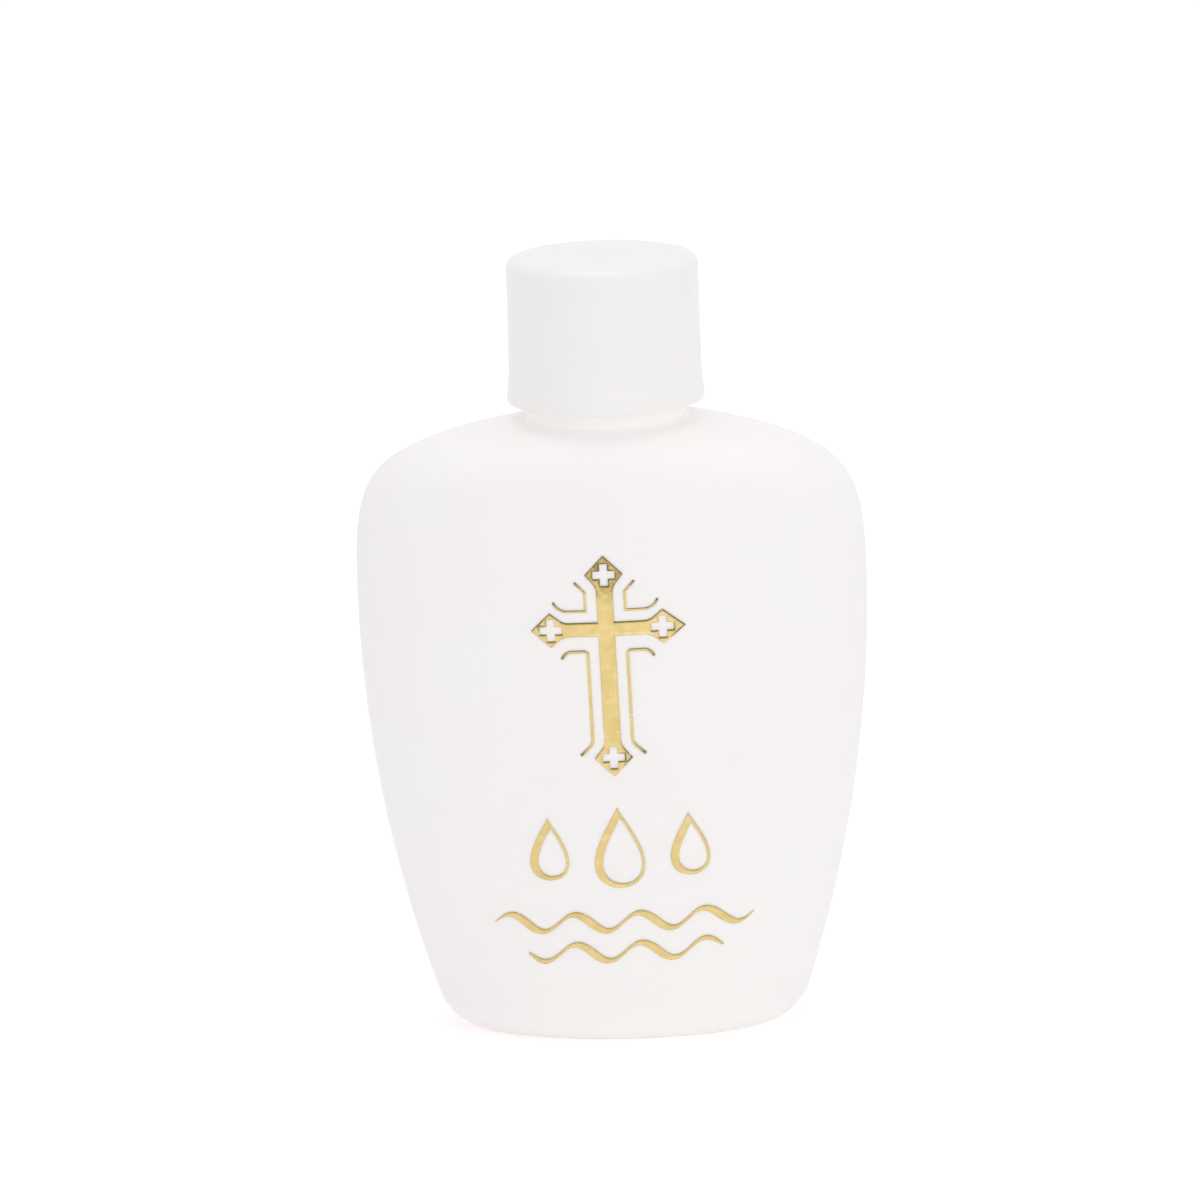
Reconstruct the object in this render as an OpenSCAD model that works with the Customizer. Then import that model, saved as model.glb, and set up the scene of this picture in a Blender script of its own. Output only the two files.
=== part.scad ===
// Small flask with an oval body, a screw cap and a gold cross stamped on its front.
// Millimetres. +Z up, front towards -Y, origin at the middle of the base.

/* [Bottle body] */
// Width across the widest part
body_w = 55; // [46:0.5:66]
// Depth from front to back at the widest part
body_d = 26; // [22:0.5:34]
// Height of the shoulder's top, where the neck starts
body_h = 67.5; // [62:0.5:78]
// Height of the widest part above the base
widest_z = 49.4; // [44:0.2:53]
// Radius of the side outline below the widest part
side_arc_r = 145; // [115:1:260]
// Radius of the front and back outline below the widest part
face_arc_r = 550; // [300:10:900]
// Length of the upright pull on the outline where the shoulder begins to round in
shoulder_rise = 13; // [9:0.5:15]
// Length of the sideways pull on the outline where the shoulder meets the neck
shoulder_run = 17; // [12:0.5:18]
// Length of the forward pull on the outline where the shoulder meets the neck
shoulder_front_run = 3; // [1:0.25:4]
// Slope of the shoulder where it meets the neck, in degrees
shoulder_slope = 9; // [4:0.5:14]
// Width of the flat land round the foot of the neck
neck_land = 0.5; // [0.3:0.05:1]
// Thickness of the moulded wall
wall = 1; // [0.6:0.05:1.5]
// Radius of the rounded bottom edge
base_fillet = 3.4; // [2:0.1:4.5]
// Width of the flat ring that the bottle stands on
base_land = 2.4; // [1.4:0.1:3]
// Depth of the hollow under the base
base_recess = 1.2; // [0.6:0.1:2]

/* [Neck] */
// Diameter of the plain neck wall between the threads
neck_d = 15.4; // [14.6:0.1:17]
// Diameter of the bore through the neck
bore_d = 13; // [9:0.1:13.2]
// Diameter of the collar that shows under the cap
collar_d = 17; // [16:0.1:18]
// Height of the collar
collar_h = 2.6; // [2:0.1:3.2]
// Radius that blends the collar into the shoulder
collar_fillet = 0.4; // [0.1:0.05:0.45]
// Radius of the rounded rim
rim_round = 0.5; // [0.2:0.05:0.7]

/* [Thread] */
// Rise of the thread in one turn
thread_pitch = 3.175; // [2.8:0.025:3.6]
// Turns of thread on the neck
neck_turns = 2; // [1:0.25:2.25]
// Turns of thread inside the cap
cap_turns = 1.5; // [1:0.25:1.75]
// Radial height of a thread above its wall
thread_h = 1.1; // [0.8:0.05:1.2]
// Width of a thread's crest
thread_crest = 0.7; // [0.5:0.05:0.9]
// Lean of a thread's flanks, in degrees
thread_flank = 25; // [10:1:30]
// Turn over which a thread fades in and out, in degrees
thread_fade = 45; // [20:5:90]
// Distance from the rim down to the middle of the neck thread's upper end
thread_lead = 2.2; // [1.6:0.1:3]
// Radial clearance between a thread's crest and the wall that it faces
thread_gap = 0.3; // [0.2:0.05:0.4]
// Clearance along the axis between the flanks that carry the cap
thread_play = 0.2; // [0.12:0.02:0.4]

/* [Cap] */
// Height of the cap
cap_h = 15.6; // [15:0.1:20]
// Gap between the shoulder and the cap's lower edge
cap_gap = 1.9; // [0.8:0.1:2]
// Thickness of the cap's side wall above the bead
cap_wall = 1.3; // [0.9:0.05:2]
// How far the side wall leans in from the bead to the top
cap_draft = 0.1; // [0:0.05:0.3]
// Thickness of the cap's top
cap_roof = 1.2; // [0.8:0.05:2]
// Radius of the rounded top edge
cap_edge_r = 1; // [0.5:0.1:1.1]
// Height of the bead round the lower edge
cap_bead_h = 2; // [1:0.1:3]
// How far the bead stands out of the side wall
cap_bead_out = 0.25; // [0.1:0.05:0.6]

/* [Liner] */
// Thickness of the sealing disc in the cap
liner_t = 1; // [0.6:0.05:1.5]
// Gap between the disc's edge and the cap's wall
liner_gap = 0.2; // [0.1:0.05:0.3]

/* [Foil cross] */
// Thickness of the stamped foil
foil_t = 0.08; // [0.05:0.01:0.2]
// Gap that the bond leaves under the foil
foil_bond = 0.03; // [0.02:0.01:0.06]
// Height of the crossing above the base
cross_z = 46.9; // [42:0.1:49]
// Lean of the whole stamped design to the left, in degrees
stamp_lean = 1.45; // [-3:0.05:3]
// Reach of the cross above the crossing
cross_up = 8; // [6.5:0.1:9]
// Reach of the cross below the crossing
cross_down = 16.3; // [12:0.1:17.5]
// Distance from the crossing to the corners of the bar's pointed ends
cross_side = 6.05; // [5:0.05:8]
// Width of the upright
stem_w = 1.77; // [1.2:0.05:2.4]
// Width of the bar
bar_w = 1.53; // [1.2:0.05:2.2]
// Half of the width of the upright's pointed ends
head_half = 2.05; // [1.8:0.05:2.3]
// Half of the width of the bar's pointed ends
side_head_half = 1.9; // [1.6:0.05:2.2]
// Length of a pointed end from its corners to its tip
head_point = 2.05; // [1.6:0.05:2.4]
// Length of the right pointed end from its corners to its tip
right_point = 2.4; // [1.6:0.05:2.8]
// Length of the widening from an arm out to the corners of its end
head_flare = 2; // [1.4:0.05:2.4]
// How much the widening bends: 1 is straight, 2 is one even arc
head_bend = 1.3; // [1.1:0.05:1.8]
// Length across the small cross that is cut through each pointed end
cut_size = 2.4; // [1.6:0.05:3]
// Least width of foil left beside the small cross that is cut through each pointed end
cut_rim = 0.1; // [0.08:0.01:0.3]
// Width of the arms of the small cut cross
cut_arm = 0.86; // [0.5:0.02:1]
// How far the small cut cross sits inwards from the corners
cut_inset = 0.05; // [0:0.01:0.2]

/* [Foil strokes] */
// Width of the fine strokes above the bar
stroke_up_w = 0.24; // [0.18:0.01:0.4]
// Width of the fine strokes below the bar
stroke_down_w = 0.29; // [0.2:0.01:0.5]
// Distance from the upright to the middle of a stroke
stroke_off = 1.25; // [0.8:0.05:1.6]
// Distance from the bar to the middle of an upper stroke
stroke_up_off = 1.25; // [0.8:0.05:1.6]
// Distance from the bar to the middle of a lower stroke
stroke_down_off = 1.65; // [1:0.05:2]
// Radius of the corner of a lower stroke
stroke_corner_r = 0.4; // [0.3:0.05:0.8]
// Straight length of an upper stroke beside the bar
stroke_up_side = 1.95; // [1.5:0.05:2.6]
// Sideways reach of an upper stroke's tail beside the bar
stroke_up_side_tail = 1.5; // [0.8:0.05:1.8]
// Upright reach of an upper stroke's tail beside the bar
stroke_up_side_turn = 1.05; // [0.5:0.05:1.3]
// Straight length of an upper stroke beside the upright
stroke_up_leg = 2; // [1.4:0.05:2.4]
// Sideways reach of an upper stroke's tail beside the upright
stroke_up_tail = 1.05; // [0.7:0.05:1.5]
// Upright reach of an upper stroke's tail beside the upright
stroke_up_turn = 1.15; // [0.7:0.05:1.5]
// Straight length of a lower stroke beside the bar
stroke_down_side = 1.75; // [1.2:0.05:2.6]
// Sideways reach of a lower stroke's tail beside the bar
stroke_down_side_tail = 1.05; // [0.6:0.05:1.6]
// Upright reach of a lower stroke's tail beside the bar
stroke_down_side_turn = 0.75; // [0.4:0.05:1.2]
// Straight length of a lower stroke beside the upright
stroke_down_leg = 9.7; // [6:0.1:10.5]
// Sideways reach of a lower stroke's tail beside the upright
stroke_down_tail = 1.35; // [0.7:0.05:1.6]
// Upright reach of a lower stroke's tail beside the upright
stroke_down_turn = 1.75; // [1:0.05:2.4]
// How much a lower stroke's tail beside the upright bends: 1 is straight, 2 is one even arc
stroke_bend = 1.3; // [1.1:0.05:1.8]

/* [Foil drops and waves] */
// Height of the drops' middle above the base
drops_z = 22.6; // [21.5:0.1:24]
// Distance between the middles of neighbouring drops
drop_step = 7.6; // [6.5:0.1:9]
// Height of the middle drop
drop_mid_h = 9; // [7:0.1:10]
// Height of the outer drops
drop_side_h = 7; // [5:0.1:9]
// Width of a drop, as a share of its height
drop_slim = 0.6; // [0.5:0.01:0.7]
// Width of a drop's line on its thin side
drop_thin = 0.3; // [0.2:0.01:0.4]
// Width of a drop's line on its thick side
drop_thick = 0.85; // [0.5:0.05:1.1]
// Height of the upper wave's middle above the base
wave_z = 14.2; // [13:0.1:15]
// Distance from the upper wave down to the lower one
wave_step = 3.4; // [2.8:0.1:4]
// Length of the upper wave
wave_upper_l = 28; // [20:0.5:30]
// Length of the lower wave
wave_lower_l = 21; // [14:0.5:26]
// Length of one ripple
wave_ripple = 7; // [5:0.1:9]
// Height of a ripple above the wave's middle
wave_rise = 0.95; // [0.5:0.05:1.2]
// Width of a wave's line where it climbs
wave_thin = 0.28; // [0.2:0.01:0.4]
// Width of a wave's line where it falls
wave_thick = 0.85; // [0.4:0.05:1]

/* [Hidden] */

$fn = 96;
// Sides and rings of the moulded body's surface
outer_sides = 64;
inner_sides = 48;
fillet_steps = 5;
side_steps = 10;
shoulder_steps = 14;
// Steps of a drawn arc and of a thread's turn
arc_steps = 8;
turn_steps = 36;
// Points of a drop's outline and of one ripple
drop_points = 40;
ripple_points = 16;
// Grid spacing of the foil sheet
sheet_step_x = 1.8;
sheet_step_z = 2.5;
// How far shapes overlap where they are joined or cut
overlap = 0.5;
// Margin of the foil sheet round a stamped shape
sheet_margin = 1;
// Length over which a wave's ends fade, and the share of its width that is left there
wave_fade = 2;
wave_tip = 0.25;
// Power that draws a drop's flanks in towards its tip
drop_power = 1.4;

milky_white = [0.95, 0.945, 0.94];
liner_white = [0.88, 0.88, 0.87];
foil_gold = [0.91, 0.81, 0.53];

collar_r = collar_d / 2;
neck_r = neck_d / 2;
shoulder_top_r = collar_r + neck_land;
cap_z = body_h + cap_gap;
cap_top_z = cap_z + cap_h;
roof_z = cap_top_z - cap_roof;
rim_z = roof_z - liner_t;
skirt_r = neck_r + thread_h + thread_gap;
cap_r = skirt_r + cap_wall;
liner_r = skirt_r - liner_gap;

// Height of the middle of each thread's lower end: the cap's thread lies under the neck's,
// by the two half widths where they face each other and the play
flank_tan = tan(thread_flank);
thread_drop = thread_crest + (thread_h - thread_gap) * flank_tan + thread_play;
neck_thread_z = rim_z - thread_lead - neck_turns * thread_pitch;
cap_thread_z = neck_thread_z - thread_drop;

// Value of a cubic curve with the four pulls p at t
function bezier(p, t) =
    p[0] * pow(1 - t, 3) + 3 * p[1] * t * pow(1 - t, 2) + 3 * p[2] * t * t * (1 - t) + p[3] * pow(t, 3);

// How far an outline of radius r has drawn in at height z below the widest part
function draw_in(r, z) = r - sqrt(r * r - pow(widest_z - z, 2));

// The shoulder's curves in height, half width and half depth, moved in by inset
function shoulder_heights(inset) = let (top = body_h - inset)
    [widest_z, widest_z + shoulder_rise, top - shoulder_run * sin(shoulder_slope), top];
function shoulder_widths(inset) = let (top = shoulder_top_r - inset)
    [body_w / 2 - inset, body_w / 2 - inset, top + shoulder_run * cos(shoulder_slope), top];
function shoulder_depths(inset) = let (top = shoulder_top_r - inset)
    [body_d / 2 - inset, body_d / 2 - inset, top + shoulder_front_run, top];

// A body ring [half width, half depth, height] below the widest part, and on the shoulder
function side_ring(inset, z) =
    [body_w / 2 - draw_in(side_arc_r, z) - inset, body_d / 2 - draw_in(face_arc_r, z) - inset, z];
function shoulder_ring(inset, t) =
    [bezier(shoulder_widths(inset), t), bezier(shoulder_depths(inset), t), bezier(shoulder_heights(inset), t)];

// A ring on the underside: its height is set apart from the outline's
function base_ring(inset, z) = let (ring = side_ring(inset, 0)) [ring[0], ring[1], z];

// All rings of the body, from the hollow under the base up to the neck
function body_rings(inset) = let (corner_r = base_fillet - inset) concat(
    [base_ring(base_fillet + base_land + base_recess, base_recess + inset)],
    [base_ring(base_fillet + base_land, inset)],
    [for (i = [0 : fillet_steps]) let (turn = 90 * i / fillet_steps)
        side_ring(base_fillet - corner_r * sin(turn), base_fillet - corner_r * cos(turn))],
    [for (i = [1 : side_steps]) side_ring(inset, base_fillet + (widest_z - base_fillet) * i / side_steps)],
    [for (i = [1 : shoulder_steps]) shoulder_ring(inset, i / shoulder_steps)]
);

// The closed surface through a stack of oval rings
module oval_loft(rings, sides) {
    last = len(rings) - 1;
    points = [for (ring = rings) for (i = [0 : sides - 1])
        [ring[0] * cos(360 * i / sides), ring[1] * sin(360 * i / sides), ring[2]]];
    walls = [for (k = [0 : last - 1]) for (i = [0 : sides - 1])
        let (a = k * sides + i, b = k * sides + (i + 1) % sides)
        for (face = [[a, a + sides, b], [b, a + sides, b + sides]]) face];
    floor_face = [for (i = [0 : sides - 1]) i];
    roof_face = [for (i = [sides - 1 : -1 : 0]) last * sides + i];
    polyhedron(points, concat([floor_face], walls, [roof_face]));
}

// Points of an arc of radius r about c, from one angle to another
function arc(c, r, from, to) =
    [for (i = [0 : arc_steps]) let (turn = from + (to - from) * i / arc_steps) c + r * [cos(turn), sin(turn)]];

// How much of its full height a thread has at a given turn
function thread_rise(turn, turns) = max(0, min(1, turn / thread_fade, (360 * turns - turn) / thread_fade));

// Triangles turned to face the other way
function reversed(faces) = [for (face = faces) [face[2], face[1], face[0]]];

// A screw thread on a wall of radius wall_r, sunk into it: out is 1 where it stands outwards, -1 inwards
module screw_thread(wall_r, out, turns, z) {
    root_r = wall_r - out * overlap;
    steps = ceil(turns * turn_steps);
    points = [for (i = [0 : steps])
        let (turn = 360 * turns * i / steps, mid = z + thread_pitch * turn / 360)
        let (tall = thread_rise(turn, turns) * (thread_h + overlap / 2) + overlap / 2)
        let (tip_r = root_r + out * tall, half = thread_crest / 2, foot = half + tall * flank_tan)
        for (p = [[root_r, -foot], [tip_r, -half], [tip_r, half], [root_r, foot]])
            [p[0] * cos(turn), p[0] * sin(turn), mid + p[1]]];
    walls = [for (i = [0 : steps - 1]) for (k = [0 : 3])
        let (a = 4 * i + k, b = 4 * i + (k + 1) % 4)
        for (face = [[a, a + 4, b], [b, a + 4, b + 4]]) face];
    end = 4 * steps;
    ends = [[0, 1, 2], [0, 2, 3], [end, end + 2, end + 1], [end, end + 3, end + 2]];
    faces = concat(walls, ends);
    polyhedron(points, out < 0 ? faces : reversed(faces));
}

// The neck as a solid of revolution: collar, plain wall and rounded rim
module neck_solid() {
    step = collar_r - neck_r;
    foot_c = [collar_r + collar_fillet, body_h + collar_fillet];
    rim_c = [neck_r - rim_round, rim_z - rim_round];
    rotate_extrude()
        polygon(concat(
            [[0, body_h - wall / 2], [collar_r + collar_fillet, body_h - wall / 2]],
            arc(foot_c, collar_fillet, 270, 180),
            [[collar_r, body_h + collar_h - step], [neck_r, body_h + collar_h]],
            arc(rim_c, rim_round, 0, 90),
            [[0, rim_z]]
        ));
}

module bottle_body() {
    color(milky_white)
        difference() {
            union() {
                oval_loft(body_rings(0), outer_sides);
                neck_solid();
                screw_thread(neck_r, 1, neck_turns, neck_thread_z);
            }
            oval_loft(body_rings(wall), inner_sides);
            translate([0, 0, body_h - wall - overlap])
                cylinder(d = bore_d, h = rim_z - body_h + wall + 2 * overlap);
        }
}

module screw_cap() {
    top_r = cap_r - cap_draft;
    bead_r = cap_r + cap_bead_out;
    edge_c = [top_r - cap_edge_r, cap_top_z - cap_edge_r];
    color(milky_white)
        union() {
            rotate_extrude()
                polygon(concat(
                    [[skirt_r, cap_z], [bead_r - cap_bead_out, cap_z], [bead_r, cap_z + cap_bead_out]],
                    [[bead_r, cap_z + cap_bead_h - cap_bead_out], [cap_r, cap_z + cap_bead_h]],
                    arc(edge_c, cap_edge_r, 0, 90),
                    [[0, cap_top_z], [0, roof_z], [skirt_r, roof_z]]
                ));
            screw_thread(skirt_r, -1, cap_turns, cap_thread_z);
        }
}

module cap_liner() {
    color(liner_white)
        translate([0, 0, rim_z])
            cylinder(r = liner_r, h = liner_t);
}

// The shoulder curve's parameter at height z, found by halving
function shoulder_t(z, low = 0, high = 1, turns = 20) = let (mid = (low + high) / 2)
    turns == 0 ? mid
    : bezier(shoulder_heights(0), mid) < z ? shoulder_t(z, mid, high, turns - 1)
    : shoulder_t(z, low, mid, turns - 1);

// The front surface's distance from the middle at x and height z
function front_y(x, z) = let (ring = z < widest_z ? side_ring(0, z) : shoulder_ring(0, shoulder_t(z)))
    -ring[1] * sqrt(1 - pow(x / ring[0], 2));

// A thin sheet on the front surface, from low to high in [x, z]
module foil_sheet(low, high) {
    nx = ceil((high[0] - low[0]) / sheet_step_x);
    nz = ceil((high[1] - low[1]) / sheet_step_z);
    row = nx + 1;
    layer = row * (nz + 1);
    grid = [for (k = [0 : nz]) for (i = [0 : nx])
        [low[0] + (high[0] - low[0]) * i / nx, low[1] + (high[1] - low[1]) * k / nz]];
    points = [for (gap = [foil_bond, foil_bond + foil_t]) for (g = grid)
        [g[0], front_y(g[0], g[1]) - gap, g[1]]];
    cells = [for (k = [0 : nz - 1]) for (i = [0 : nx - 1])
        let (a = k * row + i) for (face = [[a, a + 1, a + row], [a + 1, a + row + 1, a + row]]) face];
    rim = concat(
        [for (i = [0 : nx]) i],
        [for (k = [1 : nz]) k * row + nx],
        [for (i = [nx - 1 : -1 : 0]) nz * row + i],
        [for (k = [nz - 1 : -1 : 1]) k * row]
    );
    sides = [for (i = [0 : len(rim) - 1]) let (a = rim[i], b = rim[(i + 1) % len(rim)])
        for (face = [[a, b, a + layer], [b, b + layer, a + layer]]) face];
    front = [for (face = reversed(cells)) [for (i = face) i + layer]];
    polyhedron(points, concat(cells, front, reversed(sides)));
}

// Stamps flat shapes, drawn about the crossing, out of the sheet that spans low to high
module stamp(low, high) {
    margin = [sheet_margin, sheet_margin];
    base = [0, cross_z];
    color(foil_gold)
        intersection() {
            foil_sheet(base + low - margin, base + high + margin);
            translate([0, 0, cross_z])
                rotate([90, 0, 0])
                    linear_extrude(height = body_d / 2 + overlap)
                        rotate(stamp_lean)
                            children();
        }
}

// Radius of the arc in a curve that reaches fore along its start and aside of it
function bend_r(fore, aside, bending) = let (end = bending * atan(aside / fore))
    (fore * sin(end) - aside * cos(end)) / (1 - cos(end));

// A curve from the point p that leaves along one axis and turns to p + reach, by an arc and a straight stretch:
// along 0 leaves sideways, along 1 leaves upright, and bending is 1 for a straight line, 2 for an arc alone
function bend(p, reach, along, bending) =
    let (fore = abs(reach[along]), aside = abs(reach[1 - along]))
    let (end = bending * atan(aside / fore), r = bend_r(fore, aside, bending))
    concat(
        [for (i = [1 : arc_steps]) let (turn = end * i / arc_steps, f = r * sin(turn), s = r * (1 - cos(turn)))
            let (go = along == 0 ? [f, s] : [s, f])
            p + [sign(reach[0]) * go[0], sign(reach[1]) * go[1]]],
        bending < 2 ? [p + reach] : []
    );

// The outline of an arm's pointed head, from its right edge over the tip to its left edge
function arm_head(half, head, point, length) =
    let (foot = [half, length - point - head_flare])
    let (edge = concat([foot], bend(foot, [head - half, head_flare], 1, head_bend)))
    concat(edge, [[0, length]], [for (i = [len(edge) - 1 : -1 : 0]) [-edge[i][0], edge[i][1]]]);

// Points turned about the crossing
function turned(points, turn) =
    [for (p = points) [p[0] * cos(turn) - p[1] * sin(turn), p[0] * sin(turn) + p[1] * cos(turn)]];

// Half width of an arm's widening at a height above its foot
function flare_half(half, head, up) =
    let (aside = head - half, end = head_bend * atan(aside / head_flare))
    let (r = bend_r(head_flare, aside, head_bend))
    up < r * sin(end) ? half + r - sqrt(r * r - up * up) : head - (head_flare - up) * tan(end);

// Reach of the small cross that is cut through a head: less than its own where the head has no room for it
function cut_reach(half, head, point) = min(
    cut_size / 2,
    flare_half(half, head, head_flare - cut_inset - cut_arm / 2) - cut_rim,
    head * (1 - (cut_arm / 2 - cut_inset) / point) - cut_rim,
    point * (1 - (cut_arm / 2 + cut_rim) / head) + cut_inset
);

// The small cross that is cut through the head of an arm
module cut_cross(half, head, point, length) {
    size = 2 * cut_reach(half, head, point);
    translate([0, length - point - cut_inset]) {
        square([size, cut_arm], center = true);
        square([cut_arm, size], center = true);
    }
}

module foil_cross() {
    left = cross_side + head_point;
    right = cross_side + right_point;
    reaches = [cross_up, left, cross_down, right];
    halves = [stem_w, bar_w, stem_w, bar_w] / 2;
    heads = [head_half, side_head_half, head_half, side_head_half];
    points = [head_point, head_point, head_point, right_point];
    inner = [[-1, 1], [-1, -1], [1, -1], [1, 1]];
    outline = [for (i = [0 : 3])
        for (p = concat(turned(arm_head(halves[i], heads[i], points[i], reaches[i]), 90 * i),
            [[inner[i][0] * stem_w / 2, inner[i][1] * bar_w / 2]])) p];
    stamp([-left, -cross_down], [right, cross_up])
        difference() {
            polygon(outline);
            for (i = [0 : 3]) rotate(90 * i) cut_cross(halves[i], heads[i], points[i], reaches[i]);
        }
}

// Unit vector square to the stretch from a to b, on its left
function across(a, b) = let (d = b - a) [-d[1], d[0]] / norm(d);

// The mitre of a path at point i: it keeps a ribbon's width on both neighbouring stretches
function mitre(path, i) = let (last = len(path) - 1)
    i == 0 ? across(path[0], path[1])
    : i == last ? across(path[last - 1], path[last])
    : let (a = across(path[i - 1], path[i]), b = across(path[i], path[i + 1]), m = (a + b) / norm(a + b))
    m / (m * a);

// A ribbon of the given widths along a path
module ribbon(path, widths) {
    last = len(path) - 1;
    left = [for (i = [0 : last]) path[i] + mitre(path, i) * widths[i] / 2];
    right = [for (i = [last : -1 : 0]) path[i] - mitre(path, i) * widths[i] / 2];
    polygon(concat(left, right));
}

// A stroke along a path that is drawn about the crossing
module foil_stroke(path, width) {
    xs = [for (p = path) p[0]];
    zs = [for (p = path) p[1]];
    stamp([min(xs), min(zs)], [max(xs), max(zs)])
        ribbon(path, [for (p = path) width]);
}

// A path from its other end
function backwards(path) = [for (i = [len(path) - 1 : -1 : 0]) path[i]];

// The stroke in an upper corner of the cross: side is -1 left or 1 right
module upper_stroke(side) {
    corner = [side * (stem_w / 2 + stroke_off), bar_w / 2 + stroke_up_off];
    side_end = corner + [side * stroke_up_side, 0];
    leg_end = corner + [0, stroke_up_leg];
    side_tail = bend(side_end, [side * stroke_up_side_tail, stroke_up_side_turn], 0, 2);
    tail_end = leg_end + [side * stroke_up_tail, stroke_up_turn];
    foil_stroke(concat(backwards(side_tail), [side_end, corner, leg_end, tail_end]), stroke_up_w);
}

// The stroke in a lower corner of the cross: side is -1 left or 1 right
module lower_stroke(side) {
    corner = [side * (stem_w / 2 + stroke_off), -bar_w / 2 - stroke_down_off];
    side_end = corner + [side * stroke_down_side, 0];
    leg_end = corner - [0, stroke_down_leg];
    side_tail = bend(side_end, [side * stroke_down_side_tail, -stroke_down_side_turn], 0, 2);
    corner_arc = [for (i = [0 : arc_steps]) let (turn = 90 * i / arc_steps)
        corner + stroke_corner_r * [side * (1 - sin(turn)), cos(turn) - 1]];
    tail = bend(leg_end, [side * stroke_down_tail, -stroke_down_turn], 1, stroke_bend);
    foil_stroke(concat(backwards(side_tail), [side_end], corner_arc, [leg_end], tail), stroke_down_w);
}

// A drop of height h and width w about its middle, with its tip up
module drop_outline(h, w) {
    turns = [for (i = [0 : drop_points - 1]) 360 * i / drop_points];
    bulge = [for (turn = turns) sin(turn) * pow(abs(sin(turn / 2)), drop_power)];
    widest = max(bulge);
    polygon([for (i = [0 : drop_points - 1]) [bulge[i] / widest * w / 2, cos(turns[i]) * h / 2]]);
}

// A drop drawn as a line that is thick on the left: place is -1, 0 or 1
module foil_drop(place) {
    h = place == 0 ? drop_mid_h : drop_side_h;
    w = h * drop_slim;
    mid = [place * drop_step, drops_z - cross_z];
    stamp(mid - [w, h] / 2, mid + [w, h] / 2)
        translate(mid)
            difference() {
                drop_outline(h, w);
                translate([(drop_thick - drop_thin) / 2, (drop_thin - drop_thick) / 2])
                    drop_outline(h - drop_thick - 2 * drop_thin, w - drop_thick - drop_thin);
            }
}

// A rippling line of length l whose falling stretches are thick, fading at its ends
module foil_wave(l, z) {
    steps = ceil(l / wave_ripple * ripple_points);
    xs = [for (i = [0 : steps]) l * (i / steps - 0.5)];
    phases = [for (x = xs) 360 * x / wave_ripple];
    path = [for (i = [0 : steps]) [xs[i], z - cross_z + wave_rise * sin(phases[i])]];
    fades = [for (x = xs) wave_tip + (1 - wave_tip) * min(1, (l / 2 - abs(x)) / wave_fade)];
    widths = [for (i = [0 : steps])
        fades[i] * (wave_thin + (wave_thick - wave_thin) * (1 - cos(phases[i])) / 2)];
    reach = [l / 2, wave_rise];
    stamp([0, z - cross_z] - reach, [0, z - cross_z] + reach)
        ribbon(path, widths);
}

bottle_body();
screw_cap();
cap_liner();
foil_cross();
upper_stroke(-1);  // foil_stroke_upper_left
upper_stroke(1);  // foil_stroke_upper_right
lower_stroke(-1);  // foil_stroke_lower_left
lower_stroke(1);  // foil_stroke_lower_right
foil_drop(-1);  // foil_drop_left
foil_drop(0);  // foil_drop_middle
foil_drop(1);  // foil_drop_right
foil_wave(wave_upper_l, wave_z);  // foil_wave_upper
foil_wave(wave_lower_l, wave_z - wave_step);  // foil_wave_lower
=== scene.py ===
"""Looks of a small milky flask with a screw cap and gold foil on its front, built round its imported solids.

Shapes are worked out in millimetres in the frame of the solids, and turned into metres where a mesh is
made."""

import math

import bpy
import numpy as np
from mathutils import Matrix, Vector
from mathutils.geometry import delaunay_2d_cdt


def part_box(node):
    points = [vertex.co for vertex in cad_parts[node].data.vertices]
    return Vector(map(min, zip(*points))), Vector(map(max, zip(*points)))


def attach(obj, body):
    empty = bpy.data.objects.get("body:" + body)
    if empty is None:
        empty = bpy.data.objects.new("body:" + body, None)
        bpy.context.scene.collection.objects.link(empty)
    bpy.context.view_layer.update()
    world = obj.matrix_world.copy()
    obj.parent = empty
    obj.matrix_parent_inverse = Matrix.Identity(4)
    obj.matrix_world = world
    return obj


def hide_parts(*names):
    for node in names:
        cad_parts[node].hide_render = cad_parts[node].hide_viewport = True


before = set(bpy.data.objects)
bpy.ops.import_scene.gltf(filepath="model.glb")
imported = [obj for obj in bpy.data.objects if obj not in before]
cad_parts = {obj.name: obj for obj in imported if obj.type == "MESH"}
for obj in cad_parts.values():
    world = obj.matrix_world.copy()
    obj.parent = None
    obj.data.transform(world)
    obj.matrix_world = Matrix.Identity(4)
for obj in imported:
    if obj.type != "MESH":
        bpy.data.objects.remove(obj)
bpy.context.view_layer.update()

MM = 0.001
# A length below this counts as nothing
TINY = 1e-6


def box_mm(node):
    """Lowest and highest corner of a solid, in millimetres."""
    low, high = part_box(node)
    return np.array(low) / MM, np.array(high) / MM


# Sizes that the solids give
HALF_W, HALF_D, RIM_Z = box_mm("bottle_body")[1]
CAP_LOW, CAP_HIGH = box_mm("screw_cap")
BEAD_R, CAP_Z, CAP_TOP_Z = CAP_HIGH[0], CAP_LOW[2], CAP_HIGH[2]
LINER_LOW, LINER_HIGH = box_mm("cap_liner")
LINER_R, LINER_Z, ROOF_Z = LINER_HIGH[0], LINER_LOW[2], LINER_HIGH[2]

# Body: outline, shoulder, wall and base
WIDEST_Z = 49.4
SIDE_ARC_R = 145
FACE_ARC_R = 550
BODY_H = 67.5
SHOULDER_RISE = 13
SHOULDER_RUN = 17
SHOULDER_FRONT_RUN = 3
SHOULDER_SLOPE = math.radians(9)
SHOULDER_TOP_R = 9
WALL = 1
BASE_FILLET = 3.4
BASE_LAND = 2.4
BASE_RECESS = 1.2
# Rounded edges of the hollow under the base and of the floor inside, and how far their paths run past them
HOLLOW_EDGES = (0.6, 0.5)
INNER_EDGES = (0.8, 0.8)
HOLLOW_RUN = 0.8
INNER_RUN = 0.2
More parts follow.
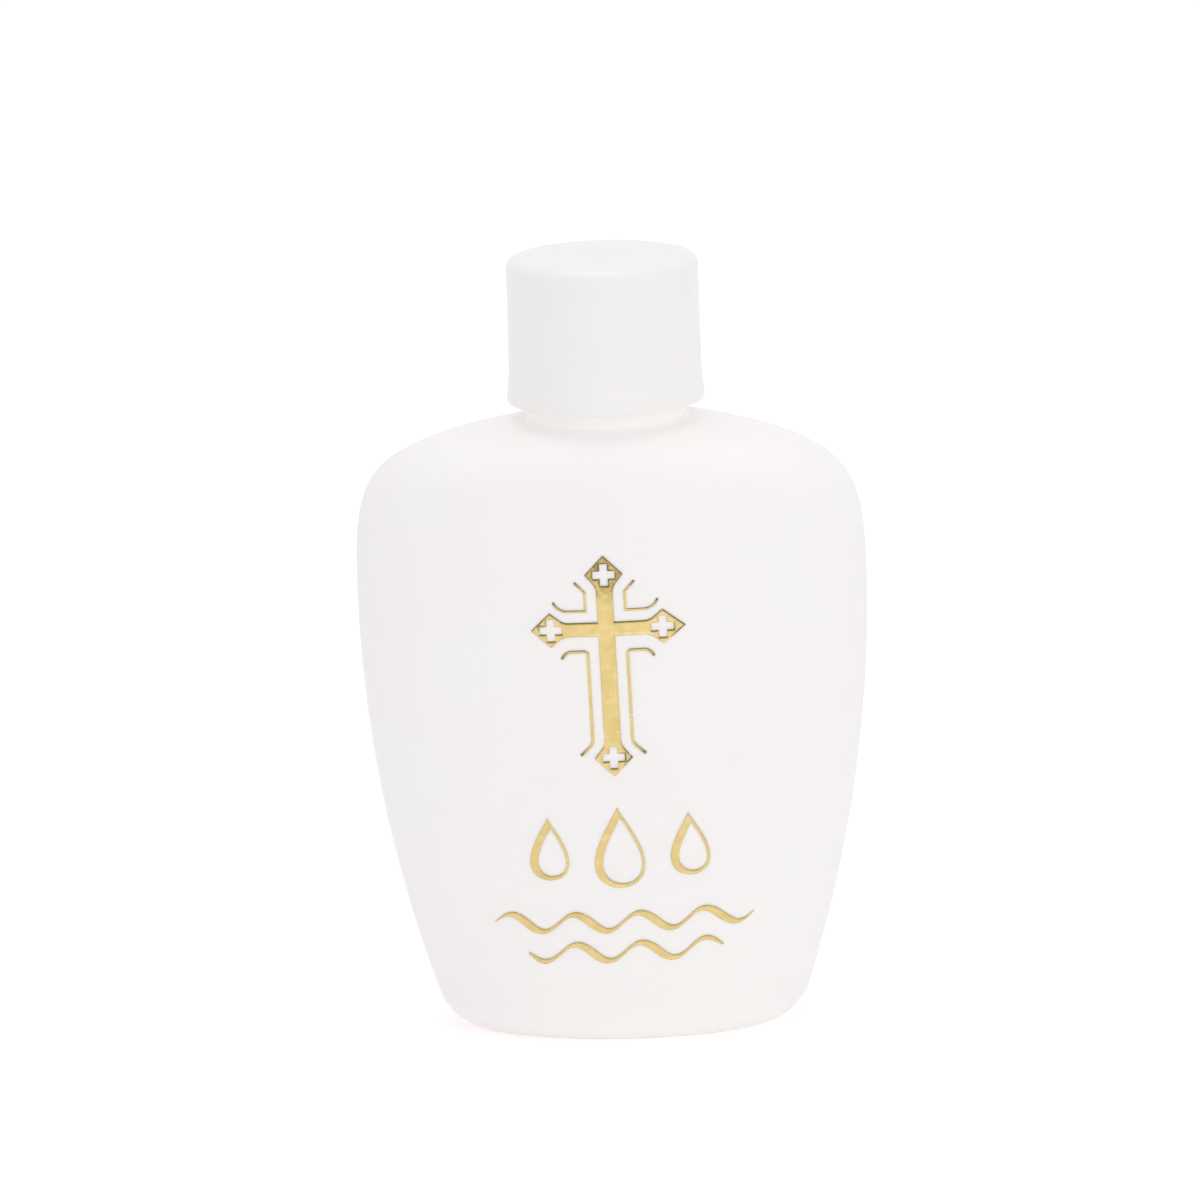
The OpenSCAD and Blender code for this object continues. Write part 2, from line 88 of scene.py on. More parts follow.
# Line under the base where the mould pinched the tube: depth, half width, and how many rows of the hollow's
# edge it crosses
PINCH_DEPTH = 0.3
PINCH_HALF = 0.45
PINCH_ROWS = 4

# Soft upper edge of the front and back: height at the middle, drop to the sides, softness and where it fades
PANEL_Z = 63.4
PANEL_DROP = 7
PANEL_POWER = 5
PANEL_LIFT = 0.45
PANEL_SOFT = 2
PANEL_REACH = 25
PANEL_FADE = 9
PANEL_SIDE = 2
# Ridge where the mould's halves met
RIDGE_H = 0.14
RIDGE_HALF = 0.4

# Neck and thread
NECK_R = 7.7
BORE_R = 6.5
COLLAR_R = 8.5
COLLAR_H = 2.6
COLLAR_EDGES = (0.4, 0.4, 0.4)
RIM_ROUND = 0.5
BORE_EDGES = (RIM_ROUND, 0.25, 0.3)
PITCH = 3.175
NECK_TURNS = 2
CAP_TURNS = 1.5
THREAD_H = 1.1
THREAD_CREST = 0.7
FLANK_TAN = math.tan(math.radians(25))
THREAD_FADE = 45 / 360
THREAD_LEAD = 2.2
THREAD_GAP = 0.3
THREAD_PLAY = 0.2
NECK_THREAD_Z = RIM_Z - THREAD_LEAD - NECK_TURNS * PITCH
CAP_THREAD_Z = NECK_THREAD_Z - THREAD_CREST - (THREAD_H - THREAD_GAP) * FLANK_TAN - THREAD_PLAY

# Cap: wall, bead and flare, rounded edges from the inside of the lip to the top
SKIRT_R = 9.1
CAP_R = 10.4
CAP_DRAFT = 0.1
CAP_WAIST = 0.02
BEAD_LAND = 0.9
BEAD_FLARE = 2
ROOF_EDGE = 0.3
CAP_EDGE_R = 1
CAP_EDGES = (0.15, 0.25, 7, 12, CAP_EDGE_R)
# Dip of its top, how far that stays inside the rounded edge, and the ring that the mould's gate left
TOP_DIP = 0.12
TOP_DIP_INSET = 0.3
GATE_DIP = 0.05
GATE_R = 1.2
GATE_HALF = 0.6

# Liner: its edges, and the ring that the rim presses into it
LINER_EDGE = 0.2
PRESS_DEPTH = 0.12
PRESS_HALF = 0.8
# A point this near a flat face lies on it
ON_FACE = 0.01

# Foil: the cross and its strokes, about the crossing
CROSS_Z = 46.9
STAMP_LEAN = math.radians(1.45)
CROSS_UP = 8
CROSS_DOWN = 16.3
CROSS_SIDE = 6.05
STEM_W = 1.77
BAR_W = 1.53
HEAD_HALF = 2.05
SIDE_HEAD_HALF = 1.9
HEAD_POINT = 2.05
RIGHT_POINT = 2.4
HEAD_FLARE = 2
HEAD_BEND = 1.3
CUT_SIZE = 2.4
CUT_ARM = 0.86
CUT_INSET = 0.05
STROKE_UP_W = 0.24
STROKE_DOWN_W = 0.29
STROKE_OFF = 1.25
STROKE_UP_OFF = 1.25
STROKE_DOWN_OFF = 1.65
STROKE_CORNER_R = 0.4
STROKE_CORNER_POINTS = 12
STROKE_UP_SIDE = 1.95
STROKE_UP_SIDE_TAIL = (1.5, 1.05)
STROKE_UP_LEG = 2
STROKE_UP_TAIL = (1.05, 1.15)
STROKE_DOWN_SIDE = 1.75
STROKE_DOWN_SIDE_TAIL = (1.05, 0.75)
STROKE_DOWN_LEG = 9.7
STROKE_DOWN_TAIL = (1.35, 1.75)
STROKE_BEND = 1.3
# Foil: the drops and waves
DROPS_Z = 22.6
DROP_STEP = 7.6
DROP_MID_H = 9
DROP_SIDE_H = 7
DROP_SLIM = 0.6
DROP_THIN = 0.3
DROP_THICK = 0.85
DROP_POWER = 1.4
DROP_POINTS = 96
WAVE_Z = 14.2
WAVE_STEP = 3.4
WAVE_UPPER_L = 28
WAVE_LOWER_L = 21
WAVE_RIPPLE = 7
WAVE_RIPPLE_POINTS = 40
WAVE_RISE = 0.95
WAVE_THIN = 0.28
WAVE_THICK = 0.85
WAVE_FADE = 2
WAVE_TIP = 0.25

# How finely the sheets are divided round the axis, and how much denser they are at the mould's parting line
AROUND = 240
PARTING_CROWD = 0.6
# Rows of the flask's skin outside and inside
FLOOR_ROWS = 12
FILLET_ROWS = 13
SIDE_ROWS = 40
SHOULDER_ROWS = 64
INNER_SHOULDER_ROWS = 40
INNER_SIDE_ROWS = 24
INNER_FLOOR_ROWS = 8
# Longest steps along the paths that are turned about the axis, and the height of the rows that carry a thread
HOLLOW_STEP = 0.4
BORE_STEP = 1.2
ROOF_STEP = 1
CAP_STEP = 0.6
LINER_STEP = 0.25
THREAD_ROW = 0.12
# Where one path ends and the next begins: above the collar, below the rim's edge, below the cap's top and
# above its lip
COLLAR_END, NECK_START = 0.5, 0.6
NECK_END, BORE_START = 0.05, 0.02
ROOF_END, SKIRT_START = 2.4, 2.5
SKIRT_END, LIP_START = 0.35, 0.3
# Steps in each rounded corner, of the other paths and of the cap's outside
CORNER_STEPS = 6
CAP_CORNER_STEPS = 8
# Heights at which the shoulder is looked up for the foil, and steps in a bend of its lines
SHOULDER_TABLE = 400
BEND_STEPS = 20

# The foil's mesh: spacing of its points, how far the inner ones stay off its edges as a share of that, how
# near points fall together, and lengths that tell what lies on an edge and which side of an edge is inside
FOIL_STEP = 0.11
EDGE_CLEAR = 0.55
MESH_TOLERANCE = 1e-7
ON_EDGE = 1e-4
PROBE = 0.01
# Height of the foil's dished middle and raised rim above the wall
FOIL_MIDDLE = 0.06
FOIL_RIM = 0.05
FOIL_RIM_W = 0.1
# How far the painted shade along the pressed-in upper edge reaches, the way that edge faces, and its share on
# dark faces
SHADE_W = 0.27
SHADE_WAY = np.array([0.15, 0.989])
FACE_SHADE = 0.8
# Places as x, z and reach about the crossing: faces of the cross that are darker, edges of the cross where
# the painted edge shade goes all round, and the reach of that shade at the ends of the strokes
CROSS_DARK_FACES = [(0, 6.3, 4.2)]
CROSS_DARK_EDGES = [(7.9, -0.6, 1.7), (1.5, -14.3, 1.5), (-7.4, 0.9, 1.6)]
STROKE_DARK = 1.1
# Strength of the painted shade on the edges of the cross, of the strokes, and of the drops and waves
CROSS_SHADE = 1.0
STROKE_SHADE = 0.75
LOWER_SHADE = 0.45

# Materials: noise is given as features to a metre and detail, bumps as strength and depth in metres
NOISE_ROUGHNESS = 0.55
# Plastics: two tones of their clouds, and least and most roughness
FLASK_PALE, FLASK_DEEP, FLASK_ROUGH = (0.985, 0.964, 0.947), (0.98, 0.943, 0.942), (0.48, 0.58)
CAP_PALE, CAP_DEEP, CAP_ROUGH = (0.936, 0.916, 0.907), (0.925, 0.905, 0.896), (0.34, 0.44)
CLOUD_NOISE, CLOUD_FROM, CLOUD_TO = (45, 3), 0.35, 0.65
SCUFF_NOISE = (420, 4)
SKIN_NOISE = (1600, 2)
SWELL_NOISE, SWELL = (120, 2), 2.0
SKIN_BUMP = (0.12, 0.00006)
PLASTIC_IOR = 1.51
MILK = 0.1
MILK_COLOUR = (1.0, 0.92, 0.84)
MILK_DEPTH = 0.0015
# Painted glow, an emission in the flask's shut-in shade in place of light through the milky wall: colour and
# strength, how near other surfaces count and how many looks are taken, the open shares at which it is full
# and gone, and its share near the base, with the heights from which it rises and at which it is whole
PAINTED_GLOW_COLOUR = (0.87, 0.94, 1)
PAINTED_GLOW_STRENGTH = 0.105
PAINTED_GLOW_REACH, PAINTED_GLOW_LOOKS = 0.006, 4
PAINTED_GLOW_SHUT, PAINTED_GLOW_OPEN = 0.2, 0.9
PAINTED_GLOW_LOW, PAINTED_GLOW_LOW_Z, PAINTED_GLOW_FULL_Z = 0.25, 0.02, 0.06
# Foam: its cells, from wall to middle
CELL_SCALE = 2600
CELL_TONES = ((0.0, (0.8, 0.8, 0.785)), (0.5, (0.9, 0.9, 0.89)))
CELL_BUMP = (0.35, 0.00012)
FOAM_NOISE, FOAM_ROUGH = (500, 3), (0.7, 0.9)
# Gold: uneven tone, dark faces, painted shade on the edges, pinholes
GOLD_NOISE = (900, 4)
GOLD_TONES = ((0.3, (0.665, 0.507, 0.202)), (0.5, (0.722, 0.557, 0.239)), (0.72, (0.776, 0.612, 0.29)))
MOTTLE_NOISE, MOTTLE, MOTTLE_FROM, MOTTLE_TO = (1700, 3), (0.25, 0.95), 0.42, 0.6
DARK_FACE = (0.27, 0.205, 0.07)
DARK_EDGE, EDGE_SHADE_MOST, EDGE_FROM, EDGE_TO = (0.13, 0.095, 0.025), 0.92, 0.08, 0.7
HOLE_TONE, HOLE_NOISE, HOLE_FROM, HOLE_TO = (0.9, 0.885, 0.86), (2600, 1), 0.735, 0.76
GOLD_ROUGH_NOISE, GOLD_ROUGH = (1300, 3), (0.26, 0.42)
GOLD_BUMP_NOISE, GOLD_BUMP = (2200, 3), (0.2, 0.00004)

# The studio, in metres. Its tent: the light at several heights, as shares of straight up
WHITE = (1, 1, 1)
TENT_LIGHT = ((0, 0.59), (0.25, 0.882), (0.7, 0.882), (0.85, 0.37))
FLOOR_REACH = 4
FLOOR_TONE = 0.98
FLOOR_ROUGH = 0.9
# The floor's own glow: near the object up to one distance, and beyond another, where the lamps don't reach
NEAR_GLOW, NEAR_TO = 0.18, 1
FAR_GLOW, FAR_FROM = 0.5, 3
# Lamps: name, place, width and power, and what they point at
LAMPS = (
    ("key", (0.75, -0.78, 0.4), 0.7, 0.8),
    ("low", (0.1, -1.1, 0.13), 0.24, 0.36),
    ("top", (-0.04, 0.0, 2.2), 1.8, 13.5),
)
LAMP_AIM = (0, 0, 0.045)
# White plastic passes light on many times in the gap under the cap and at the base
DIFFUSE_BOUNCES = 24
MAX_BOUNCES = 32

# The photograph's camera, found by fitting it to the outline: a height on the axis, and where it is seen from
TARGET_Z = 42.5
CAMERA_DISTANCE = 820
CAMERA_ELEVATION = math.radians(13.21)
CAMERA_AZIMUTH = math.radians(3.09)
CAMERA_ROLL = math.radians(1.74)
# Where that point lies in a picture of this many pixels, and the pixels to a millimetre there
PICTURE = 1200
TARGET_SEEN = (613.4, 641.08)
PICTURE_SCALE = 9.22
SENSOR = 36
CLIP_START = 0.01


# Curves and rings

def bezier(p, t):
    """Points of a cubic curve with the four pulls p."""
    return p[0] * (1 - t) ** 3 + 3 * p[1] * t * (1 - t) ** 2 + 3 * p[2] * t ** 2 * (1 - t) + p[3] * t ** 3


def draw_in(r, z):
    """How far an outline of radius r has drawn in at height z below the widest part."""
    return r - np.sqrt(r * r - (WIDEST_Z - z) ** 2)


def side_rings(inset, z, drawn_z=None):
    """Rings [half width, half depth, height] below the widest part, moved in by inset.

    drawn_z is the height at which they are as wide as the outline, where that isn't their own."""
    z = np.asarray(z, float)
    at = z if drawn_z is None else np.full_like(z, drawn_z)
    a = HALF_W - draw_in(SIDE_ARC_R, at) - inset
    b = HALF_D - draw_in(FACE_ARC_R, at) - inset
    return np.stack([a, b, z], -1)


def shoulder_rings(inset, t):
    """Rings on the shoulder, moved in by inset."""
    top, top_r = BODY_H - inset, SHOULDER_TOP_R - inset
    pull = (SHOULDER_RUN * math.cos(SHOULDER_SLOPE), SHOULDER_RUN * math.sin(SHOULDER_SLOPE))
    a = bezier((HALF_W - inset, HALF_W - inset, top_r + pull[0], top_r), t)
    b = bezier((HALF_D - inset, HALF_D - inset, top_r + SHOULDER_FRONT_RUN, top_r), t)
    z = bezier((WIDEST_Z, WIDEST_Z + SHOULDER_RISE, top - pull[1], top), t)
    return np.stack([a, b, z], -1)


def closing_rings(ring, shares):
    """Copies of a ring at its own height, drawn in to shares of its size."""
    return ring * np.stack([shares, shares, np.ones_like(shares)], -1)


def unit(v):
    return v / np.linalg.norm(v)


def rounded(points, radii, steps=CORNER_STEPS):
    """A path through points whose inner corners are rounded by the given radii."""
    points = [np.array(p, float) for p in points]
    path = [points[0]]
    for before, corner, after, radius in zip(points, points[1:], points[2:], radii):
        u, v = unit(before - corner), unit(after - corner)
        half = 0.5 * math.acos(np.clip(u @ v, -1, 1))
        centre = corner + unit(u + v) * radius / math.sin(half)
        start = corner + u * radius / math.tan(half) - centre
        end = corner + v * radius / math.tan(half) - centre
        sweep = math.pi - 2 * half
        for t in np.linspace(0, 1, steps + 1):
            arm = math.sin((1 - t) * sweep) * start + math.sin(t * sweep) * end
            path.append(centre + arm / math.sin(sweep))
    path.append(points[-1])
    return np.array(path)


def spread(path, step):
    """The same path with points added so that no stretch is longer than step."""
    out = [path[0]]
    for a, b in zip(path, path[1:]):
        n = max(1, math.ceil(np.linalg.norm(b - a) / step))
        out += [a + (b - a) * k / n for k in range(1, n + 1)]
    return np.array(out)


def column(r, z):
    """An upright path at radius r."""
    return np.stack([np.full_like(z, r), z], -1)


def round_rings(path):
    """Rings of a path in [radius, height]."""
    return np.stack([path[:, 0], path[:, 0], path[:, 1]], -1)


def angles():
    """Angles round the axis, crowded at the two sides where the mould parts."""
    t = 2 * np.pi * np.arange(AROUND) / AROUND
    return t - PARTING_CROWD / 2 * np.sin(2 * t)


def ring_grid(rings):
    """The points of a stack of oval rings, one row for each ring."""
    turn = angles()
    x = rings[:, :1] * np.cos(turn)
    y = rings[:, 1:2] * np.sin(turn)
    return np.stack([x, y, np.broadcast_to(rings[:, 2:], x.shape)], -1)


def grid_normals(grid):
    """Outward directions of a grid of points."""
    n = np.cross(np.roll(grid, -1, 1) - np.roll(grid, 1, 1), np.gradient(grid, axis=0))
    size = np.linalg.norm(n, axis=-1, keepdims=True)
    return n / np.where(size > TINY, size, 1)


def hump(x):
    """1 at 0, falling smoothly to 0 at -1 and 1."""
    x = np.clip(np.abs(x), 0, 1)
    return (1 - x * x) ** 2


def thread_height(turn, z, low_z, turns):
    """How far a thread stands out at an angle and height; the middle of its lower end is at low_z."""
    out = np.zeros(np.broadcast(turn, z).shape)
    share = np.mod(turn / (2 * np.pi), 1)
    for k in range(math.ceil(turns)):
        along = share + k
        tall = THREAD_H * np.clip(np.minimum(along, turns - along) / THREAD_FADE, 0, 1)
        aside = np.abs(z - low_z - PITCH * along)
        up = (THREAD_CREST / 2 + tall * FLANK_TAN - aside) / FLANK_TAN
        rise = np.clip(up / np.maximum(tall, TINY), 0, 1)
        out = np.maximum(out, tall * rise * rise * (3 - 2 * rise))
    return out


def add_thread(grid, first, z, wall_r, low_z, turns, way):
    """Move the rows at heights z, from the row first, along a thread: way is 1 outwards and -1 inwards."""
    tall = thread_height(angles(), z[:, None], low_z, turns)
    grid[first:first + len(z), :, :2] *= (1 + way * tall / wall_r)[..., None]


# Skins of the flask, cap and liner

def panel_edge(grid):
    """How far the soft upper edge of the front and back stands out of the body's smooth form."""
    aside = np.abs(grid[..., 0])
    line_z = PANEL_Z - PANEL_DROP * (aside / HALF_W) ** PANEL_POWER
    sideways = np.clip((PANEL_REACH - aside) / PANEL_FADE, 0, 1)
    inwards = np.clip(np.abs(grid[..., 1]) / PANEL_SIDE - 1, 0, 1)
    return PANEL_LIFT * (sideways * inwards) * np.exp(-((grid[..., 2] - line_z) / PANEL_SOFT) ** 2)


def flask_inside():
    """Rings of the flask's inside, from the top of its shoulder down to the middle of its floor."""
    land = BASE_FILLET + BASE_LAND
    deep = land + BASE_RECESS
    shoulder = shoulder_rings(WALL, np.linspace(1, 0, INNER_SHOULDER_ROWS))
    side = side_rings(WALL, np.linspace(WIDEST_Z, BASE_FILLET, INNER_SIDE_ROWS))[1:]
    r = BASE_FILLET - WALL
    turn = np.radians(np.linspace(0, 90, FILLET_ROWS))[::-1][1:]
    fillet = side_rings(BASE_FILLET - r * np.sin(turn), BASE_FILLET - r * np.cos(turn))
    path = rounded([(BASE_FILLET + INNER_RUN, WALL), (land, WALL), (deep, BASE_RECESS + WALL),
                    (deep + HOLLOW_RUN, BASE_RECESS + WALL)], INNER_EDGES)
    floor = side_rings(path[:, 0], path[:, 1], 0)
    middle = closing_rings(floor[-1], np.linspace(1, 0, INNER_FLOOR_ROWS)[1:])
    return np.concatenate([shoulder, side, fillet, floor, middle])


def flask_grid():
    """The flask's skin, from the middle of its underside up its outside, over the rim and down its inside."""
    land = BASE_FILLET + BASE_LAND
    deep = land + BASE_RECESS
    hollow = rounded([(deep + HOLLOW_RUN, BASE_RECESS), (deep, BASE_RECESS), (land, 0),
                      (BASE_FILLET + HOLLOW_RUN, 0)], HOLLOW_EDGES)
    hollow = spread(hollow, HOLLOW_STEP)
    under = side_rings(hollow[:, 0], hollow[:, 1], 0)
    middle = closing_rings(under[0], np.linspace(0, 1, FLOOR_ROWS)[:-1])
    turn = np.radians(np.linspace(0, 90, FILLET_ROWS))
    fillet = side_rings(BASE_FILLET * (1 - np.sin(turn)), BASE_FILLET * (1 - np.cos(turn)))
    side = side_rings(0, np.linspace(BASE_FILLET, WIDEST_Z, SIDE_ROWS))[1:]
    shoulder = shoulder_rings(0, np.linspace(0, 1, SHOULDER_ROWS))[1:]
    outer = np.concatenate([middle, under, fillet, side, shoulder])

    collar_z = BODY_H + COLLAR_H
    edge_z = RIM_Z - RIM_ROUND
    collar = rounded(
        [(SHOULDER_TOP_R, BODY_H), (COLLAR_R, BODY_H), (COLLAR_R, collar_z - (COLLAR_R - NECK_R)),
         (NECK_R, collar_z), (NECK_R, collar_z + COLLAR_END)], COLLAR_EDGES)[1:]
    neck_z = np.arange(collar_z + NECK_START, edge_z - NECK_END, THREAD_ROW)
    bore = rounded(
        [(NECK_R, edge_z - BORE_START), (NECK_R, RIM_Z), (BORE_R, RIM_Z), (BORE_R, BODY_H - WALL),
         (SHOULDER_TOP_R - WALL, BODY_H - WALL)], BORE_EDGES)
    bore = spread(bore, BORE_STEP)[:-1]
    neck = round_rings(np.concatenate([collar, column(NECK_R, neck_z), bore]))

    grid = ring_grid(np.concatenate([outer, neck, flask_inside()]))
    neck_first = len(outer) + len(collar)
    add_thread(grid, neck_first, neck_z, NECK_R, NECK_THREAD_Z, NECK_TURNS, 1)
    # the soft edge between the front or back and the shoulder, and the ridge where the mould's halves met
    out = grid_normals(grid)
    body = slice(len(middle) + len(under), len(outer))
    parting = slice(body.start, neck_first)
    lift = np.zeros(grid.shape[:2])
    lift[body] = panel_edge(grid[body])
    above_floor = np.clip(grid[parting, :, 2] / BASE_FILLET, 0, 1) ** 2
    lift[parting] += RIDGE_H * above_floor * hump(grid[parting, :, 1] / RIDGE_HALF)
    grid += out * lift[..., None]
    pinched = grid[:len(middle) + PINCH_ROWS]
    pinched[..., 2] -= PINCH_DEPTH * hump(pinched[..., 1] / PINCH_HALF)
    return grid


def cap_grid():
    """The cap's skin, from the middle of its roof down its inside, round its lip and up to its top."""
    roof = rounded([(0, ROOF_Z), (SKIRT_R, ROOF_Z), (SKIRT_R, CAP_TOP_Z - ROOF_END)], [ROOF_EDGE])
    roof = spread(roof, ROOF_STEP)
    skirt_z = np.arange(CAP_TOP_Z - SKIRT_START, CAP_Z + SKIRT_END, -THREAD_ROW)
    outside = rounded(
        [(SKIRT_R, CAP_Z + LIP_START), (SKIRT_R, CAP_Z), (BEAD_R, CAP_Z), (BEAD_R, CAP_Z + BEAD_LAND),
         (CAP_R - CAP_WAIST, CAP_Z + BEAD_LAND + BEAD_FLARE), (CAP_R - CAP_DRAFT, CAP_TOP_Z), (0, CAP_TOP_Z)],
        CAP_EDGES, CAP_CORNER_STEPS)
    outside = spread(outside, CAP_STEP)
    grid = ring_grid(round_rings(np.concatenate([roof, column(SKIRT_R, skirt_z), outside])))
    add_thread(grid, len(roof), skirt_z, SKIRT_R, CAP_THREAD_Z, CAP_TURNS, -1)
    # the top dips a little inside its rounded edge, and keeps the mark of the mould's gate
    rows = grid[len(roof) + len(skirt_z):]
    from_axis = np.hypot(rows[..., 0], rows[..., 1])
    dip = TOP_DIP * hump(from_axis / (CAP_R - CAP_EDGE_R - TOP_DIP_INSET))
    dip = dip + GATE_DIP * hump((from_axis - GATE_R) / GATE_HALF)
    rows[..., 2] -= np.where(rows[..., 2] > CAP_TOP_Z - ON_FACE, dip, 0)
    return grid


def liner_grid():
    """The liner's skin, with the ring that the rim has pressed into its underside."""
    corners = [(0, LINER_Z), (LINER_R, LINER_Z), (LINER_R, ROOF_Z), (0, ROOF_Z)]
    path = rounded(corners, [LINER_EDGE, LINER_EDGE])
    grid = ring_grid(round_rings(spread(path, LINER_STEP)))
    from_axis = np.hypot(grid[..., 0], grid[..., 1])
    press = PRESS_DEPTH * hump((from_axis - (NECK_R + BORE_R) / 2) / PRESS_HALF)
    grid[..., 2] += np.where(grid[..., 2] < LINER_Z + ON_FACE, press, 0)
    return grid


def sheet(grid):
    """Points and faces of a closed skin: the first and last rows of the grid are single points."""
    rows, around = grid.shape[0] - 2, grid.shape[1]
    points = np.concatenate([grid[0, :1], grid[1:-1].reshape(-1, 3), grid[-1, :1]])
    here = np.arange(around)
    there = (here + 1) % around
    faces = [(0, 1 + int(b), 1 + int(a)) for a, b in zip(here, there)]
    for row in range(rows - 1):
        low, high = 1 + row * around, 1 + (row + 1) * around
        faces += np.stack([low + here, low + there, high + there, high + here], 1).tolist()
    base, end = 1 + (rows - 1) * around, len(points) - 1
    faces += [(base + int(a), base + int(b), end) for a, b in zip(here, there)]
    return points, faces


def add_object(name, data):
    """A new object in the scene."""
    made = bpy.data.objects.new(name, data)
    bpy.context.scene.collection.objects.link(made)
    return made


def add_piece(name, points, faces, node, body, slot, material):
    """A smooth piece of the object, in place of a solid."""
    mesh = bpy.data.meshes.new(name)
    mesh.from_pydata((np.asarray(points) * MM).tolist(), [], faces)
    mesh.shade_smooth()
    mesh.materials.append(material)
    piece = add_object(name, mesh)
    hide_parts(node)
    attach(piece, body)
    return piece


# Outlines of the foil, as loops of points about the crossing

def bend(p, reach, along, bending):
    """A curve from p that leaves along one axis and turns to p + reach, by an arc and a straight stretch.

    along 0 leaves sideways, along 1 leaves upright; bending is 1 for a straight line, 2 for an arc alone."""
    fore, aside = abs(reach[along]), abs(reach[1 - along])
    end = bending * math.atan(aside / fore)
    r = (fore * math.sin(end) - aside * math.cos(end)) / (1 - math.cos(end))
    out = []
    for k in range(1, BEND_STEPS + 1):
        turn = end * k / BEND_STEPS
        step = [0, 0]
        step[along] = math.copysign(r * math.sin(turn), reach[along])
        step[1 - along] = math.copysign(r * (1 - math.cos(turn)), reach[1 - along])
        out.append((p[0] + step[0], p[1] + step[1]))
    return out + ([(p[0] + reach[0], p[1] + reach[1])] if bending < 2 else [])


def turned(points, turn):
    """Points turned about the crossing."""
    c, s = math.cos(turn), math.sin(turn)
    return [(x * c - z * s, x * s + z * c) for x, z in points]


def arm_head(half, head, point, length):
    """The outline of an arm's pointed head, from its right edge over the tip to its left edge."""
    foot = (half, length - point - HEAD_FLARE)
    edge = [foot] + bend(foot, (head - half, HEAD_FLARE), 1, HEAD_BEND)
    return edge + [(0, length)] + [(-x, z) for x, z in reversed(edge)]


def cut_cross(point, length):
    """The outline of the small cross that is cut through the head of an arm."""
    reach, arm = CUT_SIZE / 2, CUT_ARM / 2
    mid = length - point - CUT_INSET
    quarter = [(reach, -arm), (reach, arm), (arm, arm)]
    return [(x, z + mid) for k in range(4) for x, z in turned(quarter, k * math.pi / 2)]


def cross_loops():
    """The cross's outline and the four small crosses cut through it."""
    upright, bar = (STEM_W / 2, HEAD_HALF), (BAR_W / 2, SIDE_HEAD_HALF)
    arms = [(*upright, HEAD_POINT, CROSS_UP), (*bar, HEAD_POINT, CROSS_SIDE + HEAD_POINT),
            (*upright, HEAD_POINT, CROSS_DOWN), (*bar, RIGHT_POINT, CROSS_SIDE + RIGHT_POINT)]
    inner = [(-1, 1), (-1, -1), (1, -1), (1, 1)]
    outline, cuts = [], []
    for k, ((half, head, point, reach), corner) in enumerate(zip(arms, inner)):
        outline += turned(arm_head(half, head, point, reach), k * math.pi / 2)
        outline.append((corner[0] * STEM_W / 2, corner[1] * BAR_W / 2))
        cuts.append(turned(cut_cross(point, reach), k * math.pi / 2))
    return [outline] + cuts


def ribbon(path, widths):
    """The outline of a band of the given widths along a path."""
    path = np.array(path, float)
    d = np.diff(path, axis=0)
    across = np.stack([-d[:, 1], d[:, 0]], 1) / np.linalg.norm(d, axis=1)[:, None]
    mitre = [across[0]]
    for a, b in zip(across, across[1:]):
        m = unit(a + b)
        mitre.append(m / (m @ a))
    mitre = np.array(mitre + [across[-1]]) * np.array(widths, float)[:, None] / 2
    return np.concatenate([path + mitre, (path - mitre)[::-1]]).tolist()


def upper_stroke(side):
    """The line of the stroke in an upper corner of the cross: side is -1 left or 1 right."""
    corner = (side * (STEM_W / 2 + STROKE_OFF), BAR_W / 2 + STROKE_UP_OFF)
    side_end = (corner[0] + side * STROKE_UP_SIDE, corner[1])
    leg_end = (corner[0], corner[1] + STROKE_UP_LEG)
    side_tail = bend(side_end, (side * STROKE_UP_SIDE_TAIL[0], STROKE_UP_SIDE_TAIL[1]), 0, 2)
    tail_end = (leg_end[0] + side * STROKE_UP_TAIL[0], leg_end[1] + STROKE_UP_TAIL[1])
    return side_tail[::-1] + [side_end, corner, leg_end, tail_end]


def lower_stroke(side):
    """The line of the stroke in a lower corner of the cross: side is -1 left or 1 right."""
    corner = (side * (STEM_W / 2 + STROKE_OFF), -BAR_W / 2 - STROKE_DOWN_OFF)
    side_end = (corner[0] + side * STROKE_DOWN_SIDE, corner[1])
    leg_end = (corner[0], corner[1] - STROKE_DOWN_LEG)
    side_tail = bend(side_end, (side * STROKE_DOWN_SIDE_TAIL[0], -STROKE_DOWN_SIDE_TAIL[1]), 0, 2)
    corner_arc = [(corner[0] + side * STROKE_CORNER_R * (1 - math.sin(t)),
                   corner[1] + STROKE_CORNER_R * (math.cos(t) - 1))
                  for t in np.linspace(0, math.pi / 2, STROKE_CORNER_POINTS)]
    tail = bend(leg_end, (side * STROKE_DOWN_TAIL[0], -STROKE_DOWN_TAIL[1]), 1, STROKE_BEND)
    return side_tail[::-1] + [side_end] + corner_arc + [leg_end] + tail


def drop_outline(h, w, mid):
    """A drop of height h and width w about mid, with its tip up."""
    turn = 2 * np.pi * np.arange(DROP_POINTS) / DROP_POINTS
    bulge = np.sin(turn) * np.abs(np.sin(turn / 2)) ** DROP_POWER
    x = mid[0] + bulge / bulge.max() * w / 2
    return np.stack([x, mid[1] + np.cos(turn) * h / 2], 1).tolist()


def drop_loops(place):
    """A drop drawn as a line that is thick on its left: place is -1, 0 or 1."""
    h = DROP_MID_H if place == 0 else DROP_SIDE_H
    w = h * DROP_SLIM
    mid = (place * DROP_STEP, DROPS_Z - CROSS_Z)
    shift = (DROP_THICK - DROP_THIN) / 2
    hole_h, hole_w = h - DROP_THICK - 2 * DROP_THIN, w - DROP_THICK - DROP_THIN
    return [drop_outline(h, w, mid), drop_outline(hole_h, hole_w, (mid[0] + shift, mid[1] - shift))]


